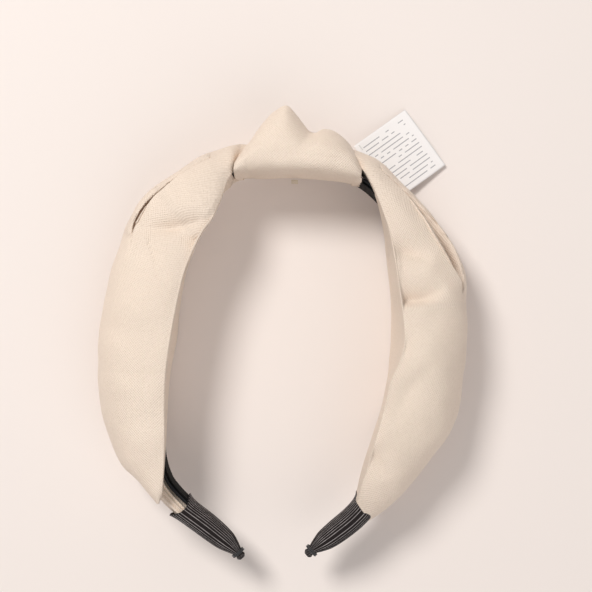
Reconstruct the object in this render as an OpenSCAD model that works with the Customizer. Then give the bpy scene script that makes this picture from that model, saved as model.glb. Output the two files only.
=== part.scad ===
// Knotted headband: a plastic spring strip covered by two soft cloth wings that meet
// at a knot, with elastic sleeves over both tips. It lies on its rear edge.
// +X is across the band, +Y is towards the knot, +Z is towards the front edge.

/* [Overall] */
// Half the width across the strip's arms, at its own axis
half_span = 46.5; // [38:0.5:56]
// Distance from the crown of the strip to the end of the longer tip
reach = 157; // [128:1:188]
// X of the strip's own axis
axis_x = 1.5; // [-3:0.5:3]
// Height of the middle of the strip above the resting plane
mid_z = 22; // [20:0.5:26]

/* [Strip] */
// Thickness of the plastic strip
strip_t = 1.6; // [1:0.1:2.4]
// Width of the strip at the crown
strip_w = 22; // [14:0.5:24]
// Width of the strip at its tips
strip_tip_w = 7; // [5:0.5:8]
// Length of strip that stays at full width on each side of the crown line
strip_full = 64; // [40:1:90]
// Thickness of the ribbon that lines the inner side
lining_t = 0.6; // [0.3:0.1:1]
// Gap between strip and ribbon
lining_gap = 0.1; // [0.05:0.05:0.2]

/* [Wings] */
// Thickness of the cloth wall with its interfacing
cloth_t = 0.8; // [0.6:0.1:1.2]
// Distance along the strip from the crown to the wings' roots
wing_root = 26; // [25:0.5:32]
// Widest reach of the wings outwards from the strip
wing_bulge = 28; // [18:0.5:32]
// Greatest front to back depth of the wings
wing_depth = 44; // [40:1:48]
// Reach of the wings inwards from the strip
wing_inset = 3.2; // [2.8:0.1:4]
// Gap between the wadding and what is round it
wadding_gap = 1; // [0.6:0.1:2]

/* [Knot] */
// Half the width of the knot along the strip
knot_half = 22.5; // [18:0.5:23]
// Height of the knot's peak above its inner face
knot_peak = 30; // [20:0.5:36]
// Front to back depth of the knot
knot_depth = 39; // [30:1:40]
// Distance from the strip to the knot's inner face at the crown
knot_below = 5.8; // [5:0.1:8]
// Clearance of the passage that the strip runs through
passage_gap = 0.4; // [0.3:0.1:0.8]

/* [Tip sleeves] */
// Length of each elastic sleeve
sleeve_len = 31; // [24:0.5:38]
// Half the width of a sleeve's mouth, across the strip
sleeve_half = 5.2; // [5:0.1:6]
// Half the depth of a sleeve's mouth, front to back
sleeve_half_z = 7.3; // [6.6:0.1:9]
// Thickness of the elastic
sleeve_t = 0.9; // [0.5:0.1:1]
// How far the strip stops short of the sleeves' ends, along Y
strip_end_gap = 7; // [6:0.5:9]
// Solid gathered length at the end of a sleeve
tail_len = 7; // [5:0.5:10]
// Gap between a wing's end and its sleeve
mouth_gap = 0.4; // [0.3:0.1:1]
// Least gap between a sleeve and the ribbon inside it
sleeve_gap = 0.8; // [0.4:0.1:1]

/* [Label and thread] */
// Width of the care label along its sewn edge
label_w = 28.5; // [20:0.5:32]
// Length of the care label from its sewn edge
label_l = 27; // [20:0.5:32]
// Thickness of the care label
label_t = 0.4; // [0.3:0.1:0.6]
// Height of the label's sewn edge
label_z = 4.6; // [3.5:0.1:5]
// Diameter of the sewing thread
thread_d = 0.5; // [0.3:0.1:0.8]
// Length of one stitch
stitch_l = 2.6; // [2:0.1:4]

/* [Hidden] */
LEFT = -1;
RIGHT = 1;
// Each arm's line, as [distance from the axis, distance below the crown]
ARM_POINTS = [[0, 0], [12, 0.6], [24, 3.2], [33, 9], [40, 17], [43.5, 26], [45, 36],
  [46, 51], [46.5, 67]];
LEFT_POINTS = [[48, 81], [48.8, 95], [48.4, 109], [47.3, 119], [44.5, 126.5], [41, 131],
  [35.5, 136], [27.5, 142.5], [19.5, 150], [13, 157]];
RIGHT_POINTS = [[46, 81], [44.3, 93], [41.3, 104], [38.4, 114], [36.2, 122], [33.8, 129],
  [29.5, 136], [23, 143.5], [17, 150], [12.5, 154.5]];
// The half span and reach that those points are written for
DRAWN_SPAN = 46.5;
DRAWN_REACH = 157;
STEPS = 4;
PITCH = 4;
half_t = strip_t / 2;
lining_in = half_t + lining_gap + lining_t;
// Least gap between a wing's wall and the strip's edges
EDGE_GAP = 1.2;

// A wing's section, as [share of its width, share of its depth], from the inner rear edge
// along the rear, round the outer bulge and up to the folded front edge
WING_OUTLINE = [[0, 0.06], [0.08, 0], [0.35, 0], [0.6, 0.05], [0.82, 0.15], [0.96, 0.28],
  [1, 0.42], [0.94, 0.56], [0.8, 0.68], [0.6, 0.8], [0.4, 0.89], [0.2, 0.96], [0.06, 1],
  [0, 0.97], [0, 0.66], [0, 0.33]];
// Share of the wing's bulge at each share of its length
LEFT_BULGE = [[0, 0.4], [0.06, 0.45], [0.12, 0.56], [0.17, 0.69], [0.23, 0.82], [0.28, 0.9],
  [0.35, 0.98], [0.46, 1], [0.56, 1], [0.64, 0.97], [0.7, 0.9], [0.74, 0.82], [0.81, 0.71],
  [0.86, 0.58], [0.91, 0.45], [0.95, 0.31], [1, 0.24]];
RIGHT_BULGE = [[0, 0.38], [0.06, 0.39], [0.12, 0.44], [0.17, 0.55], [0.23, 0.76],
  [0.29, 0.88], [0.36, 0.93], [0.48, 0.94], [0.65, 0.92], [0.72, 0.88], [0.77, 0.83],
  [0.83, 0.74], [0.88, 0.63], [0.95, 0.46], [1, 0.32]];
// How much further in the folded front edge stands than the inset, at each share of length
LEFT_FOLD = [[0, 0], [0.06, 4], [0.12, 6.8], [0.17, 6.6], [0.23, 4.6], [0.28, 2.6],
  [0.35, 1], [0.46, 0], [1, 0]];
RIGHT_FOLD = [[0, 0], [0.5, 0], [0.58, 0.6], [0.65, 2.1], [0.72, 2.2], [0.83, 1.2], [1, 0]];
// Height of the rear edge and share of the depth of the front edge, at each share of length
REAR_RISE = [[0, 8.5], [0.14, 8.5], [0.25, 3], [0.33, 0], [0.76, 0], [0.86, 3.5], [1, 15]];
FRONT_SHARE = [[0, 0.86], [0.15, 0.91], [0.3, 0.97], [0.5, 1], [0.72, 0.98], [0.85, 0.87],
  [1, 0.66]];
// The wadding's place in a wing, as shares of its length and of its depth
WADDING_SPAN = [0.1, 0.86];
WADDING_MIDDLE = 0.42;
WADDING_HALF = 0.28;

// The knot's height at each share of its width, and its section
KNOT_HEIGHT = [[-1, 0.24], [-0.85, 0.45], [-0.7, 0.62], [-0.55, 0.8], [-0.4, 0.9],
  [-0.19, 1], [0, 0.87], [0.17, 0.74], [0.27, 0.69], [0.45, 0.71], [0.6, 0.7],
  [0.8, 0.62], [0.95, 0.46], [1, 0.4]];
KNOT_OUTLINE = [[0, 0.15], [0.12, 0.06], [0.35, 0], [0.6, 0.1], [0.8, 0.25], [0.94, 0.4],
  [1, 0.5], [0.94, 0.6], [0.8, 0.75], [0.6, 0.9], [0.35, 1], [0.12, 0.94], [0, 0.85],
  [0, 0.7], [0, 0.5], [0, 0.3]];
// A passage's section, matched point for point with the outlines
PASSAGE = [[-1, -1], [-0.5, -1], [0, -1], [0.5, -1], [1, -1], [1, -0.5], [1, 0], [1, 0.5],
  [1, 1], [0.5, 1], [0, 1], [-0.5, 1], [-1, 1], [-1, 0.5], [-1, 0], [-1, -0.5]];
KNOT_STATIONS = 24;
// How much higher the knot's middle is than the strip's
KNOT_LIFT = 1.5;

// A sleeve's outer shape: share of length, share of half width and depth
SLEEVE_WIDTH = [[0, 1], [0.3, 0.94], [0.55, 0.84], [0.7, 0.72], [0.82, 0.45], [0.9, 0.32],
  [1, 0.26]];
// How far a sleeve follows the strip inside it, at each share of length
SLEEVE_HOLD = [[0, 1], [0.6, 0.9], [0.8, 0], [1, 0]];
// Share of a sleeve's inner depth that the strip's edges may reach
SLEEVE_FILL = 0.8;
// 1 would give an ellipse, and less squares its corners
SLEEVE_SQUARE = 0.5;
SLEEVE_STATIONS = 12;
ROUND = 16;

// Where the label's sewn edge starts, from the axis and above the crown, its turn about +Z,
// and how far it slopes down
LABEL_FROM = [23.5, 11.7];
LABEL_TURN = -51;
LABEL_SLOPE = 8;
// How far a sleeve's round end reaches below the end of its arm
TAIL_REACH = 0.5;
label_top = LABEL_FROM.y + label_l * cos(LABEL_SLOPE) * cos(LABEL_TURN);
// Y of the strip at its crown, which centres the whole band on the origin
crown_y = (reach + TAIL_REACH - label_top) / 2;

/* Lines */
function curve_point(a, b, c, d, t) =
  0.5 * (2 * b + (c - a) * t + (2 * a - 5 * b + 4 * c - d) * t * t
    + (3 * b - a - 3 * c + d) * t * t * t);
function before_first(p) = [-p[1].x, p[1].y];
function point_or_end(p, i) = i < 0 ? before_first(p) : p[min(i, len(p) - 1)];
function smooth(p) = concat(
  [for (i = [0:len(p) - 2]) for (j = [0:STEPS - 1])
    curve_point(point_or_end(p, i - 1), p[i], p[i + 1], point_or_end(p, i + 2), j / STEPS)],
  [p[len(p) - 1]]);
function sized(p) = [for (q = p) [q.x * half_span / DRAWN_SPAN, q.y * reach / DRAWN_REACH]];
function placed(p, side) = [for (q = p) [axis_x + side * q.x, crown_y - q.y]];
function runs(p) = [for (i = 0, s = 0; i < len(p);
  s = s + (i + 1 < len(p) ? norm(p[i + 1] - p[i]) : 0), i = i + 1) s];

left_line = placed(smooth(sized(concat(ARM_POINTS, LEFT_POINTS))), LEFT);
right_line = placed(smooth(sized(concat(ARM_POINTS, RIGHT_POINTS))), RIGHT);
left_runs = runs(left_line);
right_runs = runs(right_line);
function line_of(side) = side == LEFT ? left_line : right_line;
function runs_of(side) = side == LEFT ? left_runs : right_runs;
function length_of(side) = runs_of(side)[len(runs_of(side)) - 1];
left_x = [for (i = [0:len(left_line) - 1]) [left_runs[i], left_line[i].x]];
left_y = [for (i = [0:len(left_line) - 1]) [left_runs[i], left_line[i].y]];
right_x = [for (i = [0:len(right_line) - 1]) [right_runs[i], right_line[i].x]];
right_y = [for (i = [0:len(right_line) - 1]) [right_runs[i], right_line[i].y]];
function at(side, s) = side == LEFT
  ? [lookup(s, left_x), lookup(s, left_y)]
  : [lookup(s, right_x), lookup(s, right_y)];
function heading(side, s) =
  let (d = at(side, s + PITCH / 2) - at(side, s - PITCH / 2)) d / norm(d);
function outward(side, s) = let (t = heading(side, s)) side * [-t.y, t.x];
// The point u outwards from the strip's middle line, at height z
function in_frame(side, s, u, z) =
  let (q = at(side, s) + u * outward(side, s)) [q.x, q.y, z];
function mix(a, b, t) = a + (b - a) * t;

/* Skins: closed solids through rings of equal point counts */
module skin(rings, closed, flip) {
  n = len(rings[0]);
  m = len(rings);
  last = closed ? m - 1 : m - 2;
  sides = [for (k = [0:last]) for (i = [0:n - 1])
    let (a = k * n + i, b = k * n + (i + 1) % n,
      c = ((k + 1) % m) * n + (i + 1) % n, d = ((k + 1) % m) * n + i)
    each [[a, b, c], [a, c, d]]];
  ends = closed ? [] : [[for (i = [n - 1:-1:0]) i], [for (i = [0:n - 1]) (m - 1) * n + i]];
  faces = concat(sides, ends);
  turned = [for (f = faces) [for (i = [len(f) - 1:-1:0]) f[i]]];
  polyhedron(points = [for (r = rings) each r], faces = flip ? turned : faces);
}

/* Strip */
function strip_line() = concat([for (i = [len(left_line) - 1:-1:1]) left_line[i]], right_line);
function strip_normal(p, i) =
  let (d = p[min(i + 1, len(p) - 1)] - p[max(i - 1, 0)], t = d / norm(d)) [-t.y, t.x];
function beside(p, u) = [for (i = [0:len(p) - 1]) p[i] + u * strip_normal(p, i)];
function cut_back(p) = [for (v = p) if (v.y > tip_cut_y) v];
tip_cut_y = crown_y - reach * (RIGHT_POINTS[len(RIGHT_POINTS) - 1].y / DRAWN_REACH)
  + strip_end_gap;
// Half the strip's width at each Y
function strip_half(y) = mix(strip_tip_w / 2, strip_w / 2,
  min(1, max(0, (y - tip_cut_y) / (crown_y - strip_full - tip_cut_y))));
module strip_profile() {
  knee_y = crown_y - strip_full;
  translate([axis_x - 2 * half_span, 0, mid_z])
    rotate([90, 0, 90])
      linear_extrude(4 * half_span)
        polygon([[tip_cut_y - 1, -strip_tip_w / 2], [knee_y, -strip_w / 2],
          [crown_y + strip_w, -strip_w / 2], [crown_y + strip_w, strip_w / 2],
          [knee_y, strip_w / 2], [tip_cut_y - 1, strip_tip_w / 2]]);
}
module strip_layer(u_in, u_out) {
  p = cut_back(strip_line());
  inner = beside(p, u_in);
  outer = beside(p, u_out);
  intersection() {
    translate([0, 0, mid_z - strip_w])
      linear_extrude(2 * strip_w)
        polygon(concat(outer, [for (i = [len(inner) - 1:-1:0]) inner[i]]));
    strip_profile();
  }
}
module spring_band() {
  color([0.06, 0.06, 0.07]) strip_layer(-half_t, half_t);
}
module band_lining() {
  color([0.1, 0.1, 0.11]) strip_layer(-lining_in, -half_t - lining_gap);
}

/* Wings */
function wing_end(side) = length_of(side) - sleeve_len - mouth_gap;
function wing_share(side, s) = (s - wing_root) / (wing_end(side) - wing_root);
function bulge_at(side, f) =
  wing_bulge * lookup(f, side == LEFT ? LEFT_BULGE : RIGHT_BULGE);
function fold_at(side, f) = lookup(f, side == LEFT ? LEFT_FOLD : RIGHT_FOLD);
function rear_at(f) = lookup(f, REAR_RISE);
function front_at(f) = wing_depth * lookup(f, FRONT_SHARE);
function edge_room(side, f) =
  strip_half(at(side, mix(wing_root, wing_end(side), f)).y) + cloth_t + EDGE_GAP;
function wing_section(side, f, wall) =
  let (b = bulge_at(side, f), room = edge_room(side, f),
    lo = min(rear_at(f), mid_z - room), hi = max(front_at(f), mid_z + room),
    mid_w = (b - wing_inset) / 2, half_w = (b + wing_inset) / 2,
    mid_h = (hi + lo) / 2, half_h = (hi - lo) / 2)
  [for (q = WING_OUTLINE)
    let (u = mix(-wing_inset, b, q[0]) - fold_at(side, f) * (1 - q[0]) * q[1] * q[1],
      z = mix(lo, hi, q[1]))
    [mid_w + (u - mid_w) * (1 - wall / half_w), mid_h + (z - mid_h) * (1 - wall / half_h)]];
function wing_rings(side, wall) =
  let (first = wing_root, end = wing_end(side), n = ceil((end - first) / PITCH))
  [for (k = [0:n])
    let (s = mix(first, end, k / n), f = wing_share(side, s))
    [for (q = wing_section(side, f, wall)) in_frame(side, s, q[0], q[1])]];
function reversed(p) = [for (i = [len(p) - 1:-1:0]) p[i]];
module wing(side) {
  color([0.93, 0.86, 0.77])
    skin(concat(wing_rings(side, 0), reversed(wing_rings(side, cloth_t))), true,
      side == RIGHT);
}
module left_wing() { wing(LEFT); }
module right_wing() { wing(RIGHT); }

// The soft filling that keeps a wing full, on the outer side of the strip
function wadding_section(side, f) =
  let (b = bulge_at(side, f), lo = rear_at(f), hi = front_at(f),
    u_in = half_t + wadding_gap, u_out = b - cloth_t - 1.5 * wadding_gap)
  [for (i = [0:ROUND - 1]) let (a = 360 * i / ROUND)
    [mix(u_in, u_out, 0.5 - cos(a) / 2),
      mix(lo, hi, WADDING_MIDDLE - WADDING_HALF * sin(a))]];
module wadding(side) {
  first = mix(wing_root, wing_end(side), WADDING_SPAN[0]);
  end = mix(wing_root, wing_end(side), WADDING_SPAN[1]);
  n = ceil((end - first) / PITCH);
  rings = [for (k = [0:n])
    let (s = mix(first, end, k / n))
    [for (q = wadding_section(side, wing_share(side, s))) in_frame(side, s, q[0], q[1])]];
  color([0.95, 0.95, 0.94]) skin(rings, false, side == RIGHT);
}
module left_wadding() { wadding(LEFT); }
module right_wadding() { wadding(RIGHT); }

/* Knot */
function strip_y(x) = at(x < axis_x ? LEFT : RIGHT, strip_run(abs(x - axis_x))).y;
crown_runs = [for (i = [0:len(right_line) - 1]) if (right_line[i].x - axis_x < 0.8 * half_span
  && right_line[i].y > 0) [right_line[i].x - axis_x, right_runs[i]]];
function strip_run(d) = lookup(d, crown_runs);
module knot() {
  low_z = mid_z - knot_depth / 2 + KNOT_LIFT;
  inner_y = crown_y - knot_below;
  outer_rings = [for (k = [0:KNOT_STATIONS])
    let (f = mix(-1, 1, k / KNOT_STATIONS), x = axis_x + f * knot_half,
      h = knot_peak * lookup(f, KNOT_HEIGHT))
    [for (q = KNOT_OUTLINE) [x, inner_y + h * q[0], low_z + knot_depth * q[1]]]];
  passage_rings = [for (k = [0:KNOT_STATIONS])
    let (f = mix(-1, 1, k / KNOT_STATIONS), x = axis_x + f * knot_half, y = strip_y(x))
    [for (q = PASSAGE)
      [x, y + (q[0] < 0 ? (lining_in + passage_gap) * q[0] : (half_t + passage_gap) * q[0]),
        mid_z + (strip_w / 2 + passage_gap) * q[1]]]];
  color([0.94, 0.88, 0.79])
    skin(concat(outer_rings, reversed(passage_rings)), true, false);
}
module stitch(length) {
  rotate([0, 90, 0]) cylinder(h = length, d = thread_d, center = true, $fn = 24);
}
module knot_tacks() {
  count = 4;
  gap = 4;
  color([0.9, 0.84, 0.74])
    for (i = [0:count - 1])
      translate([axis_x, crown_y - knot_below, mid_z + gap * (i - (count - 1) / 2)])
        stitch(stitch_l);
}

/* Tip sleeves */
function sleeve_half_at(t) = sleeve_half * lookup(t, SLEEVE_WIDTH);
function sleeve_depth_at(side, t) =
  let (s = length_of(side) - sleeve_len * (1 - t))
  max(sleeve_half_z * lookup(t, SLEEVE_WIDTH),
    lookup(t, SLEEVE_HOLD) * (strip_half(at(side, s).y) / SLEEVE_FILL + sleeve_t));
// How far outwards from the strip a sleeve's middle lies
function sleeve_offset(t) =
  max(0, lookup(t, SLEEVE_HOLD) * (sleeve_half_at(t) - sleeve_t - lining_in - sleeve_gap));
function sleeve_section(side, t, wall) =
  [for (i = [0:ROUND - 1]) let (a = 360 * i / ROUND)
    [sleeve_offset(t) - (sleeve_half_at(t) - wall) * squared(cos(a)),
      mid_z - (sleeve_depth_at(side, t) - wall) * squared(sin(a))]];
function squared(c) = sign(c) * pow(abs(c), SLEEVE_SQUARE);
function sleeve_rings(side, wall, share) = [for (k = [0:SLEEVE_STATIONS])
  let (t = share * k / SLEEVE_STATIONS, s = length_of(side) - sleeve_len * (1 - t))
  [for (q = sleeve_section(side, t, wall)) in_frame(side, s, q[0], q[1])]];
module tip_sleeve(side) {
  hollow = 1 - tail_len / sleeve_len;
  color([0.12, 0.12, 0.13])
    skin(concat(reversed(sleeve_rings(side, 0, 1)), sleeve_rings(side, sleeve_t, hollow)),
      false, side == LEFT);
}
module left_tip_sleeve() { tip_sleeve(LEFT); }
module right_tip_sleeve() { tip_sleeve(RIGHT); }

// Two turns of thread that bind the gathered tail
module tip_thread(side) {
  share = 0.9;
  turns = 2;
  s = length_of(side) - sleeve_len * (1 - share);
  t = heading(side, s);
  color([0.05, 0.05, 0.06])
    for (i = [0:turns - 1])
      translate(in_frame(side, s + i * 1.4 * thread_d, sleeve_offset(share), mid_z))
        rotate([0, 90, atan2(t.y, t.x)])
          rotate_extrude($fn = 48)
            translate([sleeve_depth_at(side, share) + thread_d / 2, 0])
              circle(d = thread_d, $fn = 16);
}
module left_tip_thread() { tip_thread(LEFT); }
module right_tip_thread() { tip_thread(RIGHT); }

// Stitches that hold a sleeve's mouth, on its outer side
module sleeve_stitches(side) {
  count = 3;
  gap = 3.2;
  s = length_of(side) - sleeve_len + stitch_l;
  share = stitch_l / sleeve_len;
  t = heading(side, s);
  half_z = sleeve_depth_at(side, share);
  color([0.05, 0.05, 0.06])
    for (i = [0:count - 1])
      let (dz = gap * (i - (count - 1) / 2),
        u = sleeve_offset(share) + sleeve_half_at(share) * pow(1 - pow(dz / half_z, 4), 0.25))
        translate(in_frame(side, s, u, mid_z + dz))
          rotate([0, 0, atan2(t.y, t.x)])
            stitch(stitch_l);
}
module left_sleeve_stitches() { sleeve_stitches(LEFT); }
module right_sleeve_stitches() { sleeve_stitches(RIGHT); }

/* Label */
module on_label() {
  translate([axis_x + LABEL_FROM.x, crown_y + LABEL_FROM.y, label_z])
    rotate([0, 0, LABEL_TURN])
      rotate([-LABEL_SLOPE, 0, 0])
        children();
}
module care_label() {
  color([0.95, 0.95, 0.95])
    on_label() cube([label_w, label_l, label_t]);
}
module label_stitches() {
  count = 6;
  margin = 2.2;
  color([0.88, 0.87, 0.85])
    on_label()
      for (i = [0:count - 1])
        translate([mix(margin, label_w - margin, i / (count - 1)), margin, label_t])
          stitch(stitch_l);
}

spring_band();
band_lining();
knot();
knot_tacks();
left_wing();
right_wing();
left_wadding();
right_wadding();
left_tip_sleeve();
right_tip_sleeve();
left_tip_thread();
right_tip_thread();
left_sleeve_stitches();
right_sleeve_stitches();
care_label();
label_stitches();
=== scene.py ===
"""A knotted satin headband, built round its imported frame, lying on its rear edge."""
import math

import bpy
import numpy as np
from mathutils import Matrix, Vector, noise


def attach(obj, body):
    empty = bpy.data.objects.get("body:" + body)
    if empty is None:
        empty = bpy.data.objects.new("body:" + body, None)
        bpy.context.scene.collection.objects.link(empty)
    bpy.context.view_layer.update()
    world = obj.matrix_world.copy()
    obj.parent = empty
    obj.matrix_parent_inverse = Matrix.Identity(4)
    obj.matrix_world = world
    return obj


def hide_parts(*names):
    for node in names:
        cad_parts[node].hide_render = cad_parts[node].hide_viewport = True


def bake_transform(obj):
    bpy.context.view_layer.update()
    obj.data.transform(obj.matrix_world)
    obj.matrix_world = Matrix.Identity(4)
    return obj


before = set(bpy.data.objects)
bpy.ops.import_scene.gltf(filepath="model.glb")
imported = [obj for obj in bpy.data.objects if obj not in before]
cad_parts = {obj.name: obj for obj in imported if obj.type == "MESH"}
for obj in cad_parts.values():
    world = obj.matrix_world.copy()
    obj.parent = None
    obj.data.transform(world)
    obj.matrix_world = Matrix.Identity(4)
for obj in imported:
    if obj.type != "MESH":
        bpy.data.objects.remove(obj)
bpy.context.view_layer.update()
MM = 0.001


# ---- Spring strip ------------------------------------------------------------
# A moulded black plastic strip, set on edge and bent into a U. It is widest at the
# crown and tapers to its tips. It flexes at both shoulders, so it is made in two halves
# that meet inside the knot.
AXIS_X = 1.5
CROWN_Y = 64.5
MID_Z = 22.0
LEFT, RIGHT = -1, 1
# Each arm's line, as distance from the axis and distance below the crown
SHARED_LINE = [(0, 0), (12, 0.6), (24, 3.2), (33, 9), (40, 17), (43.5, 26), (45, 36), (46, 51),
               (46.5, 67)]
LEFT_LINE = [(48, 81), (48.8, 95), (48.4, 109), (47.3, 119), (44.5, 126.5), (41, 131), (35.5, 136),
             (27.5, 142.5), (19.5, 150), (13, 157)]
RIGHT_LINE = [(46, 81), (44.3, 93), (41.3, 104), (38.4, 114), (36.2, 122), (33.8, 129), (29.5, 136),
              (23, 143.5), (17, 150), (12.5, 154.5)]
SIDES = {LEFT: "left", RIGHT: "right"}
ARM_STEPS = 12
# Half the length over which an arm's direction is taken
DIRECTION_SPAN = 1.5
STRIP_THICK = 1.6
STRIP_HALF_WIDE = 11.0
STRIP_TIP_HALF = 3.5
FULL_TO_Y = 0.5
STRIP_END_Y = -83.0
STRIP_SECTIONS, STRIP_RING = 110, 28
# How square the strip's faces and edges are; lower is squarer
FACE_SQUARE, EDGE_SQUARE = 0.5, 0.2
# The last sections' share of the strip's width, which rounds its tip
STRIP_TIP_ROUND = (0.97, 0.9, 0.76, 0.5)


def smooth(points, per):
    """A smooth curve through the points, with `per` steps from each to the next."""
    p = np.array(points, float)
    p = np.vstack([2 * p[0] - p[1], p, 2 * p[-1] - p[-2]])
    t = (np.arange(per) / per)[:, None]
    parts = [
        0.5 * (2 * b + (c - a) * t + (2 * a - 5 * b + 4 * c - d) * t**2
               + (3 * b - a - 3 * c + d) * t**3)
        for a, b, c, d in zip(p, p[1:], p[2:], p[3:])
    ]
    return np.vstack([*parts, p[-2:-1]])


def run_along(points):
    """The distance along a line of points, at each of them."""
    return np.r_[0, np.cumsum(np.linalg.norm(np.diff(points, axis=0), axis=1))]


def in_place(side, across, below):
    """The X and Y of a point given from the strip's axis and crown."""
    return AXIS_X + side * across, CROWN_Y - below


def arm_line(side):
    """An arm's whole line, from the crown to its tip, as X and Y."""
    line = smooth(SHARED_LINE + (LEFT_LINE if side == LEFT else RIGHT_LINE), ARM_STEPS)
    return np.stack(in_place(side, line[:, 0], line[:, 1]), 1)


ARM = {side: arm_line(side) for side in SIDES}
ARM_RUN = {side: run_along(ARM[side]) for side in SIDES}


def on_arm(side, s):
    """Points on an arm's line at distances s from the crown, and the outward directions there."""
    def at(d):
        return np.stack([np.interp(d, ARM_RUN[side], ARM[side][:, k]) for k in (0, 1)], -1)
    s = np.asarray(s, float)
    ahead = at(s + DIRECTION_SPAN) - at(s - DIRECTION_SPAN)
    ahead /= np.linalg.norm(ahead, axis=-1, keepdims=True)
    return at(s), side * np.stack([-ahead[..., 1], ahead[..., 0]], -1)


def frame_points(side, s, u, z):
    """Points u outwards from an arm's line at s, at height z, in millimetres."""
    p, out = on_arm(side, s)
    xy = p + out * np.asarray(u, float)[..., None]
    z = np.broadcast_to(np.asarray(z, float), xy.shape[:-1])
    return np.concatenate([xy, z[..., None]], -1)


def grid_mesh(name, rows, around=True, ends=False, uv_ring=None):
    """A mesh through rows of points in millimetres, closed round each row if around is set.
    Its UV map holds real distances in metres: along the piece, then round it."""
    n, m = rows.shape[:2]
    quads = [
        ((k, i), (k, i + 1), (k + 1, i + 1), (k + 1, i))
        for k in range(n - 1) for i in range(m if around else m - 1)
    ]
    faces = [tuple(k * m + i % m for k, i in quad) for quad in quads]
    along = run_along(rows.mean(1)) * MM
    ring = uv_ring
    if ring is None:
        closed = np.concatenate([rows, rows[:, :1]], 1) if around else rows
        steps = np.linalg.norm(np.diff(closed, axis=1), axis=2)
        ring = np.concatenate([np.zeros((n, 1)), np.cumsum(steps, axis=1) * MM], 1)
    corners = [(along[k], ring[k][i]) for quad in quads for k, i in quad]
    if ends:
        faces += [tuple(range(m))[::-1], tuple((n - 1) * m + i for i in range(m))]
        corners += [(along[0], ring[0][i]) for i in range(m)][::-1]
        corners += [(along[-1], ring[-1][i]) for i in range(m)]
    mesh = bpy.data.meshes.new(name)
    mesh.from_pydata((rows.reshape(-1, 3) * MM).tolist(), [], faces)
    layer = mesh.uv_layers.new(name="Cloth")
    layer.data.foreach_set("uv", np.array(corners, np.float32).ravel())
    mesh.polygons.foreach_set("use_smooth", np.ones(len(faces), bool))
    mesh.update()
    piece = bpy.data.objects.new(name, mesh)
    bpy.context.scene.collection.objects.link(piece)
    return piece


def closed_piece(name, rows, material, **how):
    """A closed piece of one material, with its faces turned away from its middle."""
    piece = grid_mesh(name, rows, **how)
    mesh = piece.data
    mesh.materials.append(material)
    inside = Vector(rows.mean((0, 1))) * MM
    if sum((f.center - inside).dot(f.normal) * f.area for f in mesh.polygons) < 0:
        mesh.flip_normals()
    return piece


def full_turn(steps):
    """Angles once round a section."""
    return np.linspace(0, 2 * math.pi, steps, endpoint=False)


def squared(wave, power):
    """A cosine or sine pushed out towards a square's sides; a lower power is squarer."""
    return np.sign(wave) * np.abs(wave) ** power


def strip_rows(side, u_in, u_out, s, half):
    """Rounded flat sections between two distances from the arm's line."""
    mid, thick = (u_in + u_out) / 2, (u_out - u_in) / 2
    turn = full_turn(STRIP_RING)
    u = mid + thick * squared(np.cos(turn), FACE_SQUARE)[None, :] * np.ones((len(s), 1))
    z = MID_Z + half[:, None] * squared(np.sin(turn), EDGE_SQUARE)[None, :]
    return frame_points(side, s[:, None] * np.ones_like(u), u, z)


def strip_half_at(side, s):
    """Half the strip's width at distances s along an arm."""
    y = on_arm(side, s)[0][:, 1]
    share = np.clip((y - STRIP_END_Y) / (FULL_TO_Y - STRIP_END_Y), 0, 1)
    return STRIP_TIP_HALF + (STRIP_HALF_WIDE - STRIP_TIP_HALF) * share


def strip_stop(side):
    """The distance along an arm at which the strip ends."""
    return np.interp(-STRIP_END_Y, -ARM[side][:, 1], ARM_RUN[side])


def flex(piece):
    """Bakes the piece's placement into its mesh."""
    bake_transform(piece)


def new_material(name, color, rough, specular=0.5):
    """A material, its node tree and its shader."""
    material = bpy.data.materials.new(name)
    material.use_nodes = True
    shader = material.node_tree.nodes["Principled BSDF"]
    shader.inputs["Base Color"].default_value = (*color, 1)
    shader.inputs["Roughness"].default_value = rough
    shader.inputs["Specular IOR Level"].default_value = specular
    return material, material.node_tree, shader


def add_node(tree, kind, **values):
    """A node with its settings and sockets set by name."""
    node = tree.nodes.new(kind)
    for key, value in values.items():
        if hasattr(node, key):
            setattr(node, key, value)
        else:
            node.inputs[key.replace("_", " ")].default_value = value
    return node


def new_group(name, inputs, outputs):
    """An empty node group with named sockets: {name: (kind, default)} in, {name: kind} out."""
    group = bpy.data.node_groups.new(name, "ShaderNodeTree")
    for key, (kind, value) in inputs.items():
        socket = group.interface.new_socket(key, in_out="INPUT", socket_type="NodeSocket" + kind)
        if value is not None:
            socket.default_value = value
    for key, kind in outputs.items():
        group.interface.new_socket(key, in_out="OUTPUT", socket_type="NodeSocket" + kind)
    return group, group.nodes.new("NodeGroupInput"), group.nodes.new("NodeGroupOutput")


def wear_group():
    """Soft blotches and fine specks, for finishes that are never quite even."""
    group, given, out = new_group(
        "Uneven finish",
        {"Blotch Size": ("Float", 60.0), "Speck Size": ("Float", 900.0)},
        {"Blotch": "Float", "Speck": "Float"},
    )
    place = group.nodes.new("ShaderNodeTexCoord")
    for mark, detail in (("Blotch", 3.0), ("Speck", 2.0)):
        cloud = add_node(group, "ShaderNodeTexNoise", Detail=detail)
        group.links.new(place.outputs["Object"], cloud.inputs["Vector"])
        group.links.new(given.outputs[f"{mark} Size"], cloud.inputs["Scale"])
        group.links.new(cloud.outputs["Fac"], out.inputs[mark])
    return group


UNEVEN = wear_group()


def use_group(tree, group, **values):
    """A group's node in a material, with its sockets set by name."""
    node = tree.nodes.new("ShaderNodeGroup")
    node.node_tree = group
    for key, value in values.items():
        node.inputs[key.replace("_", " ")].default_value = value
    return node


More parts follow.
